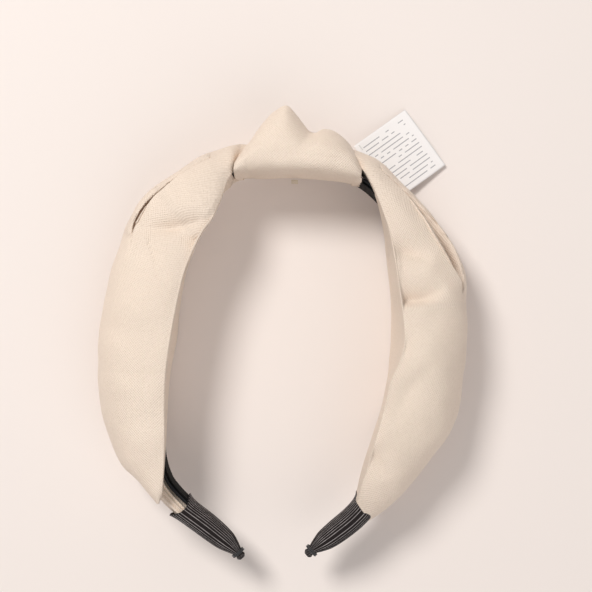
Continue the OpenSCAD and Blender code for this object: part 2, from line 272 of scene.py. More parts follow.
def ranged(tree, value, **ends):
    """A value brought from one range into another."""
    node = add_node(tree, "ShaderNodeMapRange", **ends)
    tree.links.new(value, node.inputs["Value"])
    return node.outputs["Result"]


def raise_surface(tree, shader, height, strength, distance):
    """Feeds a height to the shader as a bump."""
    bump = add_node(tree, "ShaderNodeBump", Strength=strength, Distance=distance)
    tree.links.new(height, bump.inputs["Height"])
    tree.links.new(bump.outputs["Normal"], shader.inputs["Normal"])


def plastic_material():
    """Black moulded plastic with a faint, uneven gloss."""
    material, tree, shader = new_material("strip plastic", (0.006, 0.006, 0.007), 0.5, 0.25)
    uneven = use_group(tree, UNEVEN, Blotch_Size=45.0, Speck_Size=2600.0)
    gloss = ranged(tree, uneven.outputs["Blotch"], To_Min=0.34, To_Max=0.5)
    tree.links.new(gloss, shader.inputs["Roughness"])
    raise_surface(tree, shader, uneven.outputs["Speck"], 0.15, 0.0001)
    return material


PLASTIC = plastic_material()
for side, word in SIDES.items():
    s = np.linspace(0, strip_stop(side), STRIP_SECTIONS)
    half = strip_half_at(side, s)
    half[-len(STRIP_TIP_ROUND):] *= STRIP_TIP_ROUND
    rows = strip_rows(side, -STRIP_THICK / 2, STRIP_THICK / 2, s, half)
    strip = closed_piece(f"{word}_strip_half", rows, PLASTIC, ends=True)
    flex(strip)
    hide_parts("spring_band")


# ---- Ribbon lining -----------------------------------------------------------
# A black grosgrain ribbon, glued to the strip's inner face so that the band sits softly
# on the hair. Its ribs run across it. It bends with the strip.
RIBBON_THICK = 0.6
RIBBON_GAP = 0.1
RIBBON_INSET = 0.2
RIB_PITCH = 1.1
RIB_RISE = 0.05
RIB_STEPS = 5
# The ribs cover the ribbon's inner side, up to this cosine of the way round its section
RIBBED_TO = 0.2


def two_tones(tree, share, dark, light):
    """A colour between two tones, by a share from 0 to 1."""
    tone = add_node(tree, "ShaderNodeMix", data_type="RGBA")
    tone.inputs["A"].default_value = (*dark, 1)
    tone.inputs["B"].default_value = (*light, 1)
    tree.links.new(share, tone.inputs["Factor"])
    return tone.outputs["Result"]


def ribbon_material():
    """Dull black grosgrain."""
    material, tree, shader = new_material("lining ribbon", (0.008, 0.008, 0.009), 0.8, 0.15)
    uneven = use_group(tree, UNEVEN, Blotch_Size=220.0, Speck_Size=3500.0)
    speck = uneven.outputs["Speck"]
    tone = two_tones(tree, speck, (0.003, 0.003, 0.003), (0.014, 0.013, 0.014))
    tree.links.new(tone, shader.inputs["Base Color"])
    raise_surface(tree, shader, speck, 0.4, 0.0001)
    return material


RIBBON = ribbon_material()
for side, word in SIDES.items():
    stop = strip_stop(side)
    s = np.linspace(0, stop, int(stop / RIB_PITCH * RIB_STEPS))
    rib = RIB_RISE * (0.5 + 0.5 * np.cos(2 * math.pi * s / RIB_PITCH))
    outer = -STRIP_THICK / 2 - RIBBON_GAP
    half = strip_half_at(side, s) - RIBBON_INSET
    rows = strip_rows(side, outer - RIBBON_THICK, outer, s, half)
    ribbed = np.cos(full_turn(STRIP_RING)) < RIBBED_TO
    out = on_arm(side, s)[1]
    rows[..., :2] -= out[:, None, :] * rib[:, None, None] * ribbed[None, :, None]
    ribbon = closed_piece(f"{word}_lining_half", rows, RIBBON, ends=True)
    flex(ribbon)
    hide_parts("band_lining")


# ---- Satin wings -------------------------------------------------------------
# Two tubes of champagne satin, cut wide in the middle, turned right side out and drawn
# over the strip. Each has a sharp fold along its front edge, a round outer bulge and a
# flat rear that the band lies on.
CLOTH_THICK = 0.5
# Stations of a wing: the front fold, the outermost line and the inner rear edge, as X, Y, Z
LEFT_WING = [
    [(-13, 66.5, 25), (-13, 72, 17), (-14, 62, 11)],
    [(-20.8, 63.6, 28), (-19.5, 72.8, 18), (-22.5, 58.5, 10)],
    [(-22.8, 60.2, 33.6), (-23.6, 72.2, 18.5), (-25.2, 56, 9)],
    [(-24.6, 56.6, 35.2), (-28, 70.8, 18.8), (-28.6, 53, 8)],
    [(-26.6, 49.3, 37.5), (-35, 67.4, 18), (-33.5, 47.5, 7)],
    [(-29.4, 41.8, 39.5), (-43.5, 61.8, 16), (-38, 40.5, 5)],
    [(-33.2, 35.6, 40.5), (-52, 56.2, 15), (-41, 33, 3)],
    [(-37, 26.4, 41.5), (-60.5, 47.5, 14), (-42.5, 24, 1.4)],
    [(-39.6, 17.5, 42), (-67.3, 32, 14), (-43.2, 15, 0.4)],
    [(-41.6, 5, 42.5), (-72, 12, 15), (-44, 3, 0)],
    [(-43, -6, 42.5), (-73.6, -4, 15), (-44.4, -7, 0)],
    [(-44, -18, 42.5), (-74.3, -19, 15), (-46, -18, 0)],
    [(-44, -30, 42), (-72.7, -31.5, 15), (-47, -29, 0)],
    [(-43.4, -42, 41), (-68.9, -43.5, 16), (-47.6, -39, 1.5)],
    [(-43.2, -52, 39.5), (-62.6, -56.2, 17.5), (-48.4, -48, 5)],
    [(-43.3, -60, 38), (-55.4, -62.6, 20), (-50, -56, 10)],
    [(-43.6, -66, 36.5), (-50.4, -66.6, 24), (-49, -62.5, 17)],
    [(-44.2, -68.6, 35), (-47, -69, 29.5), (-46.6, -67.4, 26)],
    [(-45, -70, 33.5), (-45.3, -70.4, 32.5), (-45.2, -69.8, 32)],
]
RIGHT_WING = [
    [(17, 66.8, 31), (17, 74, 22), (18, 64.5, 12)],
    [(24.6, 66.4, 33), (25, 72.6, 21.5), (26, 64.6, 12)],
    [(28, 63.4, 35.5), (29.5, 71, 20.5), (31.6, 61.4, 10)],
    [(30.8, 59.3, 36.5), (35, 68, 19), (35.6, 56.8, 8)],
    [(33.8, 53.8, 37.5), (42, 62.4, 17.5), (38.2, 49.8, 6)],
    [(36.9, 46.3, 38.5), (51, 54.8, 16), (39.6, 42.6, 4.5)],
    [(39.8, 38.2, 40), (60.3, 45.2, 15), (40.6, 35, 3)],
    [(41.9, 29.3, 41), (67.6, 36, 14), (41.9, 27, 1.5)],
    [(43.7, 19.5, 42), (72.5, 23.6, 14), (43.5, 18, 0.5)],
    [(45.4, 10, 42.5), (74, 10, 15), (44.6, 8, 0)],
    [(46.9, -1, 43), (74.1, -2, 15), (45, -3, 0)],
    [(45.4, -10, 43), (73.7, -12, 15), (44.8, -12, 0)],
    [(42.3, -18, 43), (73, -22, 15), (44.6, -20, 0)],
    [(40.8, -27, 42.5), (71.2, -32, 15.5), (43.6, -28, 0.5)],
    [(38.8, -37, 41), (67.2, -41.8, 16), (41.2, -37, 2)],
    [(36.8, -45.5, 39), (62, -49.6, 17), (38.8, -45, 5)],
    [(35.2, -53.5, 36.5), (55, -58.5, 18), (36.5, -52.5, 8.5)],
    [(33.8, -59.5, 33.5), (47.6, -67.6, 19.5), (35, -58.5, 12)],
    [(33.2, -64, 31), (42.3, -72.6, 20.5), (33.8, -63.5, 14)],
    [(32.6, -67, 29), (38.4, -75, 21), (32.8, -67, 16)],
]
WING_STEPS = 12
LOBE_STEPS, TUCK_STEPS, EDGE_STEPS, REAR_STEPS, INNER_STEPS = 88, 10, 44, 34, 26
CREST_STEPS = 16
FRONT_STEPS = LOBE_STEPS + TUCK_STEPS + EDGE_STEPS
# The deep fold on each wing's front: X, Y and depth along it. The lobe on its left hangs
# over it, and the cloth on its right comes out again as a narrow roll.
LEFT_FOLD = [(-31, 65.8, 0), (-34.7, 63.3, 3.6), (-39.6, 59.5, 5.4), (-45.2, 55.3, 6),
             (-50.8, 49.5, 6.8),
             (-54.5, 45.4, 7), (-57.1, 41.8, 6.4), (-59.2, 37.7, 4.8), (-60.4, 34.1, 2),
             (-61.2, 31, 0)]
RIGHT_FOLD = [(69.8, 17.5, 0), (67.9, 21.6, 5), (65, 25.8, 9.5), (61.8, 31.2, 11),
              (57.6, 38.1, 9.6),
              (52.9, 44.9, 7.2), (47.8, 51.3, 5.2), (43, 56.2, 4), (38.2, 60.6, 2.6), (33, 65.4, 0)]
# How deep a full fold is, and how far its lobe hangs over it
FULL_FOLD = 5.0
OVERHANG = 1.1
# How far off each roll's crest lies, as a share of the way out, once a fold gapes in full
LEFT_GAPE, RIGHT_GAPE = 0.25, 0.5
GAPING_FOLD = 8.0
LEAST_OPEN = 0.15
# The share of the front face that the tuck takes up, and the depth at which it is all there
TUCK_SHARE = 0.02
WHOLE_TUCK = 1.2
# Points tried to find where a section meets its fold
FOLD_SCAN = 240
# How late the lobe bends to its edge, and how far the tuck swings out and comes back
LOBE_POWER = 9
TUCK_OUT, TUCK_BACK = 0.3, 0.8
# The crest's drop as a share of the fold's depth, and how far the roll's curves are drawn on
CREST_SINK = 0.06
CREST_PULL, VALLEY_DIP = 0.35, 0.2
EDGE_PULL, EDGE_LIFT = (0.5, 0.5, 0), (0, 0, 0.6)
# How far each face's curve is drawn on before it turns, in shares of its size or millimetres
FRONT_PULL, FRONT_LIFT, BULGE_RISE = 0.42, 1.5, 0.84
BULGE_FALL, REAR_PULL = 0.8, 0.5
INNER_BOW, INNER_RISE, INNER_FALL, INNER_SET = 1.5, 0.25, 0.3, 0.6
CREASE_ROUND = 0.7
# The cloth's unevenness: height and size of each wave, and where it starts
WING_WAVES = ((0.9, 26, 4), (0.85, 13, 0), (0.2, 6, 9))
# Points from each end of the loose cloth to where it is fully uneven, and the taut share
LOOSE_START, LOOSE_END, TAUT = 12, 10, 0.15
# The painted shade in the deep fold starts at this difference in height, and deepens at this rate
SHADE_FROM, SHADE_RATE = 0.2, 1.3
# Creases and dents: X, Y and depth along each, and how far it fades to its left and right
LEFT_PRESSED = [
    ([(-60, 34.5, 0), (-57.3, 36.6, 1.6), (-53.5, 37.4, 3.9), (-47.7, 38, 5.4),
      (-41.9, 38.6, 4.8), (-36.2, 39.8, 3.1),
      (-31.2, 41.4, 1), (-28.5, 43.5, 0)], 3.4, 6.5),
    ([(-43, 35, 0), (-40.8, 34, 0.8), (-37.7, 32.8, 2.1), (-34.6, 32.2, 2.4),
      (-32, 33.4, 1)], 1.7, 2.6),
    ([(-62.5, 29.5, 0), (-58, 27.5, 0.6), (-53, 26, 0.7), (-47, 25.5, 0)], 3.5, 3.0),
    ([(-56, 31, 0), (-52, 30.5, -0.5), (-47, 30.5, 0)], 2.5, 2.5),
    ([(-49, 3, 0), (-47.5, -4, 0.5), (-48.5, -12, 0)], 3, 3),
]
RIGHT_PRESSED = [
    ([(41, 32.4, 1), (45.6, 32.4, 3.6), (51.5, 31.5, 2.8), (57, 29, 0)], 4.5, 2.4),
    ([(43, 13.4, 2.2), (45.5, 13.5, 4.8), (49.3, 14, 5.6), (54.3, 14.8, 4.8), (58.9, 17, 2.4),
      (62.6, 20, 0)], 5.2, 1.3),
    ([(45.2, -3.5, 0.6), (47, -4.5, 0.9), (51, -5.5, 0.6), (57, -4, 0)], 3.5, 3),
    ([(60, -10, 0), (52, -18, 1.1), (48, -26, 1.2), (44, -36, 0)], 5, 5),
    ([(36.4, -41.5, 0.4), (39, -44.5, -1.8), (42, -48.5, -2), (45.5, -53.5, 0)], 2.2, 1.0),
    ([(35.5, -44, 0), (38, -47.5, 1.5), (41, -52, 1.5), (43, -57, 0)], 2.5, 2.5),
    ([(68.5, 12, 0), (69.6, 2, -0.3), (69.2, -12, -0.4), (66.8, -27, -0.4), (61.4, -40, -0.4),
      (53.5, -53, -0.3), (45, -64, 0)],
     0.5, 0.8),
]


def bezier(points, steps):
    """Curves between two ends with two pulls, one for each section. They have `steps` points
    without the last, or a point at each share of the way where `steps` is a table of shares."""
    share = (np.arange(steps) / steps)[None, :] if np.isscalar(steps) else steps
    a, b, c, d = (np.asarray(p, float)[:, None, :] for p in points)
    s = share[..., None]
    return a * (1 - s)**3 + 3 * b * s * (1 - s)**2 + 3 * c * s**2 * (1 - s) + d * s**3


def beside_line(xy, line):
    """How far each point lies to the right of a line, its depth there and the way to its right."""
    curve = smooth(line, 10)
    nearest = np.full(xy.shape[:-1], 1e9)
    depth = np.zeros(xy.shape[:-1])
    right = np.zeros(xy.shape)
    for p, q in zip(curve[:-1], curve[1:]):
        way = (q - p)[:2]
        share = np.clip(((xy - p[:2]) @ way) / (way @ way), 0, 1)
        gap = xy - (p[:2] + share[..., None] * way)
        across = np.array([way[1], -way[0]]) / np.linalg.norm(way)
        off = np.linalg.norm(gap, axis=-1) * np.where(gap @ across < 0, -1, 1)
        closer = np.abs(off) < np.abs(nearest)
        nearest = np.where(closer, off, nearest)
        depth = np.where(closer, p[2] + share * (q[2] - p[2]), depth)
        right = np.where(closer[..., None], across, right)
    return nearest, np.maximum(depth, 0), right


def folded_front(ends, fold, gape):
    """The front face of each section: the lobe, the tuck under its edge, and the roll beyond."""
    count = len(ends[0])
    every = np.arange(count)
    scan = np.tile(np.linspace(0, 1, FOLD_SCAN), (count, 1))
    off, depth, right = beside_line(bezier(ends, scan)[..., :2], fold)
    crossing = (off[:, :-1] < 0) & (off[:, 1:] >= 0)
    met = np.flatnonzero(crossing.any(1))
    at = crossing.argmax(1)[met]
    share, depth, right_x, right_y = (
        np.interp(every, met, values[met, at])
        for values in (scan, depth, right[..., 0], right[..., 1])
    )
    way = np.stack([right_x, right_y, np.zeros(count)], 1)
    stops = [np.reshape(stop, (-1, 1)) for stop in (0, share - TUCK_SHARE, share + TUCK_SHARE, 1)]
    plain = [
        bezier(ends, first + (last - first) * (np.arange(steps) / steps)[None, :])
        for first, last, steps in zip(stops, stops[1:], (LOBE_STEPS, TUCK_STEPS, EDGE_STEPS))
    ]
    amount = np.clip(depth / FULL_FOLD, 0, 1)[:, None]
    down = np.array([0, 0, -1.0])
    fall = down * depth[:, None]
    edge = bezier(ends, share[:, None])[:, 0] + way * OVERHANG * amount
    valley = edge - way * OVERHANG * amount + fall
    near_edge = np.linspace(0, 1, LOBE_STEPS)[None, :, None] ** LOBE_POWER
    lobe = plain[0] + (edge[:, None] - plain[0][:, -1:]) * near_edge * amount[:, None]
    tuck = bezier((edge, edge + way * TUCK_OUT + fall * TUCK_OUT,
                   valley - way * TUCK_BACK * amount, valley), TUCK_STEPS)
    opened = np.clip(depth / GAPING_FOLD, LEAST_OPEN, 1)
    crest_at = np.round(EDGE_STEPS * gape * opened).astype(int)
    crest = plain[2][every, crest_at] - fall * CREST_SINK
    across = (crest - valley) * (1, 1, 0)
    rise = down * (valley - crest)[:, 2:]
    outermost = ends[3]
    roll = np.concatenate([
        bezier((valley, valley + across * CREST_PULL - rise * VALLEY_DIP,
                crest - across * CREST_PULL, crest), CREST_STEPS),
        bezier((crest, crest + (outermost - crest) * EDGE_PULL,
                outermost + (crest - outermost) * EDGE_LIFT, outermost), EDGE_STEPS - CREST_STEPS),
    ], 1)
    mix = np.clip(depth / WHOLE_TUCK, 0, 1)[:, None, None]
    tuck = plain[1] + (tuck - plain[1]) * mix
    roll = plain[2] + (roll - plain[2]) * mix
    return np.concatenate([lobe, tuck, roll], 1)


def wing_rows(stations, fold, gape):
    """The closed sections of a wing: front face, rear and inner side, from its three edges."""
    edges = smooth(np.array(stations, float).reshape(len(stations), 9), WING_STEPS)
    front_edge, bulge, rear = edges[:, :3], edges[:, 3:6], edges[:, 6:]
    out = bulge - front_edge
    out[:, 2] = 0
    width = np.linalg.norm(out, axis=1, keepdims=True)
    out /= width
    up = np.array([0, 0, 1.0])
    drop = front_edge[:, 2:] - bulge[:, 2:]
    under = bulge[:, 2:] - rear[:, 2:]
    tall = front_edge[:, 2:] - rear[:, 2:]
    front = folded_front((front_edge, front_edge + out * width * FRONT_PULL + up * FRONT_LIFT,
                          bulge + up * drop * BULGE_RISE, bulge), fold, gape)
    back = bezier((bulge, bulge - up * under * BULGE_FALL,
                   rear + out * width * REAR_PULL, rear), REAR_STEPS)
    inner = bezier((rear, rear - out * INNER_BOW + up * tall * INNER_RISE,
                    front_edge - up * tall * INNER_FALL - out * INNER_SET, front_edge),
                   INNER_STEPS)
    return np.concatenate([front, back, inner], 1)


def outward_normals(rows, middle):
    """The surface's direction at each point, turned away from the middle."""
    along = np.gradient(rows, axis=0)
    around = np.roll(rows, -1, 1) - np.roll(rows, 1, 1)
    normal = np.cross(around, along)
    normal = normal / np.maximum(np.linalg.norm(normal, axis=2, keepdims=True), 1e-9)
    return -normal if ((rows - middle) * normal).sum() < 0 else normal


def press(rows, normal, face, line, left_fade, right_fade):
    """Presses a crease or dent into the faces that are marked."""
    off, depth, _ = beside_line(rows[..., :2], line)
    away = np.hypot(off, CREASE_ROUND) - CREASE_ROUND
    fade = np.exp(-away / np.where(off < 0, left_fade, right_fade))
    return rows - normal * (depth * fade * face)[..., None]


def unevenness(rows, waves, seed=0.0):
    """How far soft cloth lies in or out at each point, summed over waves."""
    total = 0
    for height, size, shift in waves:
        start = seed + shift
        values = [noise.noise(Vector((x + start, y, z))) for x, y, z in rows.reshape(-1, 3) / size]
        total = total + height * np.array(values).reshape(rows.shape[:2])
    return total


def shape_wing(stations, fold, gape, pressed, seed):
    """A wing's sections with its fold, creases and dents, and the cloth's own unevenness."""
    rows = wing_rows(stations, fold, gape)
    normal = outward_normals(rows, rows.mean(1, keepdims=True))
    count = rows.shape[1]
    face = np.zeros(rows.shape[:2])
    face[:, 2:FRONT_STEPS] = 1
    for item in pressed:
        rows = press(rows, normal, face, *item)
    wall = count - INNER_STEPS
    stops = (0, LOOSE_START, wall - LOOSE_END, wall)
    loose = np.interp(np.arange(count), stops, (TAUT, 1, 1, TAUT))
    rows = rows - normal * (unevenness(rows, WING_WAVES, seed) * loose)[..., None]
    rows[..., 2] = np.maximum(rows[..., 2], CLOTH_THICK * 0.5)
    return rows


def painted_fold_shade(rows):
    """Painted shade for the deep fold: 1 at its bottom, fading to 0 at its two edges."""
    valley = LOBE_STEPS + TUCK_STEPS
    crest = valley + CREST_STEPS
    deep = (rows[:, crest, 2] - rows[:, valley, 2] - SHADE_FROM) / FULL_FOLD * SHADE_RATE
    stops = (LOBE_STEPS - 1, LOBE_STEPS + 2, valley, crest)
    across = np.interp(np.arange(rows.shape[1]), stops, (0, 1, 1, 0))
    return np.clip(deep, 0, 1)[:, None] * across[None, :]


def math_node(tree, operation, *values):
    """A Math node's result. Each value is a number or another node's socket."""
    node = add_node(tree, "ShaderNodeMath", operation=operation)
    for socket, value in zip(node.inputs, values):
        if isinstance(value, (int, float)):
            socket.default_value = value
        else:
            tree.links.new(value, socket)
    return node.outputs[0]


def weave_group():
    """A fine satin weave: staggered thread crossings, as a height and as a tint."""
    group, given, out = new_group(
        "Weave",
        {"Vector": ("Vector", None), "Pitch": ("Float", 0.0009), "Slub": ("Float", 0.35)},
        {"Height": "Float", "Tint": "Float"},
    )
    link = group.links.new
    apart = group.nodes.new("ShaderNodeSeparateXYZ")
    link(given.outputs["Vector"], apart.inputs["Vector"])
    turn = math_node(group, "DIVIDE", 2 * math.pi, given.outputs["Pitch"])
    waves = [
        math_node(group, "SINE", math_node(group, "MULTIPLY", apart.outputs[axis], turn))
        for axis in ("X", "Y")
    ]
    slubs = add_node(group, "ShaderNodeTexNoise", Scale=900.0, Detail=2.0)
    link(given.outputs["Vector"], slubs.inputs["Vector"])
    uneven = math_node(group, "MULTIPLY", slubs.outputs["Fac"], given.outputs["Slub"])
    height = math_node(group, "ADD", math_node(group, "MULTIPLY", *waves), uneven)
    link(height, out.inputs["Height"])
    link(ranged(group, height, From_Min=-1.0, From_Max=1.3), out.inputs["Tint"])
    return group


WEAVE = weave_group()
SATIN_LIGHT = (0.92, 0.78, 0.66)
SATIN_DEEP = (0.76, 0.61, 0.485)
# Painted shade, mixed into the satin's colour at the bottom of the deep folds
SATIN_PAINTED_FOLD_SHADE = (0.3, 0.15, 0.06)


def cloth_map(tree):
    """The cloth's own distances, along it and round it."""
    place = tree.nodes.new("ShaderNodeUVMap")
    place.uv_map = "Cloth"
    return place.outputs["UV"]


def satin_material():
    """Champagne satin, with its weave, soft sheen and warm dark shade painted deep in the folds."""
    material, tree, shader = new_material("champagne satin", SATIN_LIGHT, 0.46, 0.4)
    link = tree.links.new
    shader.inputs["Sheen Weight"].default_value = 0.12
    shader.inputs["Sheen Roughness"].default_value = 0.35
    shader.inputs["Sheen Tint"].default_value = (1.0, 0.9, 0.75, 1)
    weave = use_group(tree, WEAVE, Pitch=0.0011, Slub=1.6)
    link(cloth_map(tree), weave.inputs["Vector"])
    uneven = use_group(tree, UNEVEN, Blotch_Size=38.0, Speck_Size=700.0)
    threads = ranged(tree, weave.outputs["Tint"],
                     From_Min=0.25, From_Max=0.8, To_Min=0.2, To_Max=1.0)
    blotches = ranged(tree, uneven.outputs["Blotch"],
                      From_Min=0.3, From_Max=0.7, To_Min=0.955, To_Max=1.0)
    cloud = add_node(tree, "ShaderNodeMix", data_type="RGBA", blend_type="MULTIPLY")
    cloud.inputs["Factor"].default_value = 1.0
    link(two_tones(tree, threads, SATIN_DEEP, SATIN_LIGHT), cloud.inputs["A"])
    link(blotches, cloud.inputs["B"])
    # The wings' fold attribute paints warm dark shade into the base colour deep in the folds
    fold = tree.nodes.new("ShaderNodeAttribute")
    fold.attribute_name = "Painted fold shade"
    shade = add_node(tree, "ShaderNodeMix", data_type="RGBA")
    shade.inputs["B"].default_value = (*SATIN_PAINTED_FOLD_SHADE, 1)
    link(ranged(tree, fold.outputs["Fac"], To_Max=0.75), shade.inputs["Factor"])
    link(cloud.outputs["Result"], shade.inputs["A"])
    link(shade.outputs["Result"], shader.inputs["Base Color"])
    gloss = ranged(tree, uneven.outputs["Speck"], To_Min=0.4, To_Max=0.52)
    link(gloss, shader.inputs["Roughness"])
    raise_surface(tree, shader, weave.outputs["Height"], 0.8, 0.00016)
    return material


SATIN = satin_material()


def give_thickness(piece, thick):
    """Cloth of a thickness in millimetres, laid inwards."""
    shell = piece.modifiers.new("cloth thickness", "SOLIDIFY")
    shell.thickness = thick * MM
    shell.offset = -1


for side, stations, fold, gape, pressed, seed in (
    (LEFT, LEFT_WING, LEFT_FOLD, LEFT_GAPE, LEFT_PRESSED, 3.0),
    (RIGHT, RIGHT_WING, RIGHT_FOLD, RIGHT_GAPE, RIGHT_PRESSED, 7.0),
):
    word = SIDES[side]
    rows = shape_wing(stations, fold, gape, pressed, seed)
    wing = closed_piece(f"{word}_wing_cloth", rows, SATIN)
    # The fold attribute holds how much painted shade each point of the wing gets
    deep = wing.data.attributes.new("Painted fold shade", "FLOAT", "POINT")
    deep.data.foreach_set("value", painted_fold_shade(rows).ravel())
    give_thickness(wing, CLOTH_THICK)
    flex(wing)
    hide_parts(f"{word}_wing")


# ---- Wadding -----------------------------------------------------------------
# A soft strip of white sponge between the plastic and the outer cloth of each wing. It
# keeps the satin full and isn't seen from outside.
WADDING_SHRINK = 0.38
WADDING_LOW = 4.5
# The stations it runs between, and how far its rows and its section are thinned out
WADDING_FROM, WADDING_TO = 4, 13
ROW_THINNING, SECTION_THINNING = 2, 4
# Its end rows are drawn in to these shares
WADDING_ENDS = {0: 0.35, 1: 0.8, -1: 0.35, -2: 0.8}


def sponge_material():
    """White open sponge."""
    material, tree, shader = new_material("sponge wadding", (0.82, 0.81, 0.78), 0.95, 0.2)
    uneven = use_group(tree, UNEVEN, Blotch_Size=300.0, Speck_Size=1500.0)
    raise_surface(tree, shader, uneven.outputs["Speck"], 0.8, 0.0006)
    tone = two_tones(tree, uneven.outputs["Blotch"], (0.68, 0.66, 0.62), (0.88, 0.87, 0.84))
    tree.links.new(tone, shader.inputs["Base Color"])
    return material


SPONGE = sponge_material()
for side, stations, fold in ((LEFT, LEFT_WING, LEFT_FOLD), (RIGHT, RIGHT_WING, RIGHT_FOLD)):
    word = SIDES[side]
    rows = wing_rows(stations, fold, LEFT_GAPE)
    rows = rows[WADDING_FROM * WING_STEPS:WADDING_TO * WING_STEPS:ROW_THINNING, ::SECTION_THINNING]
    front = rows[:, :FRONT_STEPS // SECTION_THINNING].mean(1, keepdims=True)
    middle = (front + rows.mean(1, keepdims=True)) / 2
    rows = middle + (rows - middle) * WADDING_SHRINK - (0, 0, WADDING_LOW)
    middle = rows.mean(1, keepdims=True)
    for end, share in WADDING_ENDS.items():
        rows[end] = middle[end] + (rows[end] - middle[end]) * share
    pad = closed_piece(f"{word}_wadding_pad", rows, SPONGE, ends=True)
    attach(pad, f"{word}_arm")
    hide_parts(f"{word}_wadding")


# ---- Knot --------------------------------------------------------------------
# The knot is the same satin, tied once round the strip at the crown. A soft roll lies
# along its inner edge, and the tied cloth stands up behind it in a peak and a lower lobe.
# Each station: X, inner Y, outer Y, top Z, edge Z, bottom Z, sharpness of the outer edge
KNOT = [
    (-19.2, 59.6, 64.6, 35.8, 24, 10, 0.2),
    (-21.2, 59.2, 64.2, 37, 25, 9, 0.2),
    (-22.2, 58.9, 65, 38.5, 26, 8, 0.3),
    (-21.2, 58.8, 67.2, 39.6, 27, 7, 0.4),
    (-18.5, 58.8, 71.2, 40.8, 28, 6, 0.6),
    (-15.5, 59, 75.4, 41.6, 29, 5, 0.7),
    (-12, 59.4, 80.6, 42.2, 30, 4.4, 0.8),
    (-8, 59.8, 85, 42.6, 30.5, 4, 0.85),
    (-3.2, 60.1, 87.6, 42.8, 31, 4, 0.95),
    (1, 60.2, 84.6, 43, 29, 4, 0.8),
    (5, 60.2, 80.8, 43, 27, 4, 0.6),
    (8, 60.2, 79.3, 43, 26, 4, 0.45),
    (12, 60, 80.2, 42.8, 26, 4, 0.4),
    (16, 59.8, 79.4, 42.4, 25.5, 4.4, 0.4),
    (20, 59.5, 77, 41.6, 25, 5, 0.4),
    (23.4, 58.9, 73.4, 40.6, 24.5, 6, 0.35),
    (25.8, 58.5, 69, 39.4, 24, 7, 0.3),
    (27.4, 58.7, 66, 37.6, 24, 9, 0.2),
    (26.4, 59.1, 65.4, 36.6, 24, 9.8, 0.2),
    (24.5, 59.3, 65.4, 36, 24, 10, 0.2),
]
KNOT_STEPS = 9
ROLL = 8.5
ROLL_STEPS, SLOPE_STEPS = 26, 46
# The roll's most as a share of the knot's depth, and how far its curves are drawn on
ROLL_SHARE = 0.45
ROLL_RISE, ROLL_ROUND, ROLL_UNDER = 0.82, 0.78, 0.62
# How far its slopes are drawn on, how round its outer edge is, and how much a peak sharpens it
SLOPE_PULL, EDGE_ROUND, EDGE_SHARPEN = 0.45, 0.45, 0.75
# The cloth's unevenness: height and size of each wave, and where it starts
KNOT_WAVES = ((0.4, 9, 21.0), (0.12, 4, 33.0))
# Creases reach the faces that look no further down than this
CREASED_TO = -0.2
KNOT_PRESSED = [
    ([(7.8, 80, 1.6), (6, 76, 1.1), (3, 71, 0.5), (0, 66, 0)], 2.6, 2.6),
    ([(-17.8, 70, 0), (-17.6, 65, 0.9), (-16.8, 61.5, 1.2), (-16.4, 59.5, 0.5)], 1.4, 1.8),
    ([(-13, 67, 0), (-2, 67.8, 0.35), (12, 67.2, 0.3), (22, 66, 0)], 1.2, 3.5),
]


def knot_rows():
    """The knot's closed sections: over its roll, down its slopes and back beneath."""
    x, inner, outer, top, edge, bottom, sharp = smooth(KNOT, KNOT_STEPS).T
    roll = np.minimum(ROLL, (outer - inner) * ROLL_SHARE)
    middle = (top + bottom) / 2
    ridge = inner + roll
    slope = ridge + (outer - inner - roll) * SLOPE_PULL
    rise = EDGE_ROUND * (1 - EDGE_SHARPEN * sharp)
    over = [(inner, middle), (inner, middle + (top - middle) * ROLL_RISE),
            (ridge - roll * ROLL_ROUND, top), (ridge, top)]
    upper = [(ridge, top), (slope, top), (outer, edge + (top - edge) * rise), (outer, edge)]
    lower = [(outer, edge), (outer, edge - (edge - bottom) * rise),
             (slope, bottom), (ridge, bottom)]
    under = [(ridge, bottom), (ridge - roll * ROLL_UNDER, bottom),
             (inner, middle - (middle - bottom) * ROLL_UNDER), (inner, middle)]
    return np.concatenate([
        bezier([np.stack([x, y, z], 1) for y, z in curve], steps)
        for curve, steps in (
            (over, ROLL_STEPS), (upper, SLOPE_STEPS), (lower, SLOPE_STEPS), (under, ROLL_STEPS))
    ], 1)


rows = knot_rows()
normal = outward_normals(rows, rows.mean((0, 1), keepdims=True))
seen = (normal[..., 2] > CREASED_TO).astype(float)
for item in KNOT_PRESSED:
    rows = press(rows, normal, seen, *item)
rows = rows - normal * unevenness(rows, KNOT_WAVES)[..., None]
knot = closed_piece("knot_cloth", rows, SATIN)
give_thickness(knot, CLOTH_THICK)
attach(knot, "crown")
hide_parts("knot")


# ---- Gathered ends -----------------------------------------------------------
# Below the wings the satin is drawn into small lengthwise pleats, laid on the strip's
# outer face and tucked into the sleeves.
PLEATS = 5
GATHER = {LEFT: (138, 171), RIGHT: (150, 166)}
GATHER_IN, GATHER_OUT = 1.2, 6.6
GATHER_HALF = 6.0
GATHER_THICK = 0.4
GATHER_SECTIONS, GATHER_RING = 60, 96
# How much fuller it is where it leaves the wing, out from the strip and along its width
FULLER_OUT, FULLER_WIDE = 0.25, 0.2
PLEAT_DEPTH, PLEAT_WANDER, PLEAT_TWIST = 0.1, 1.2, 1.6


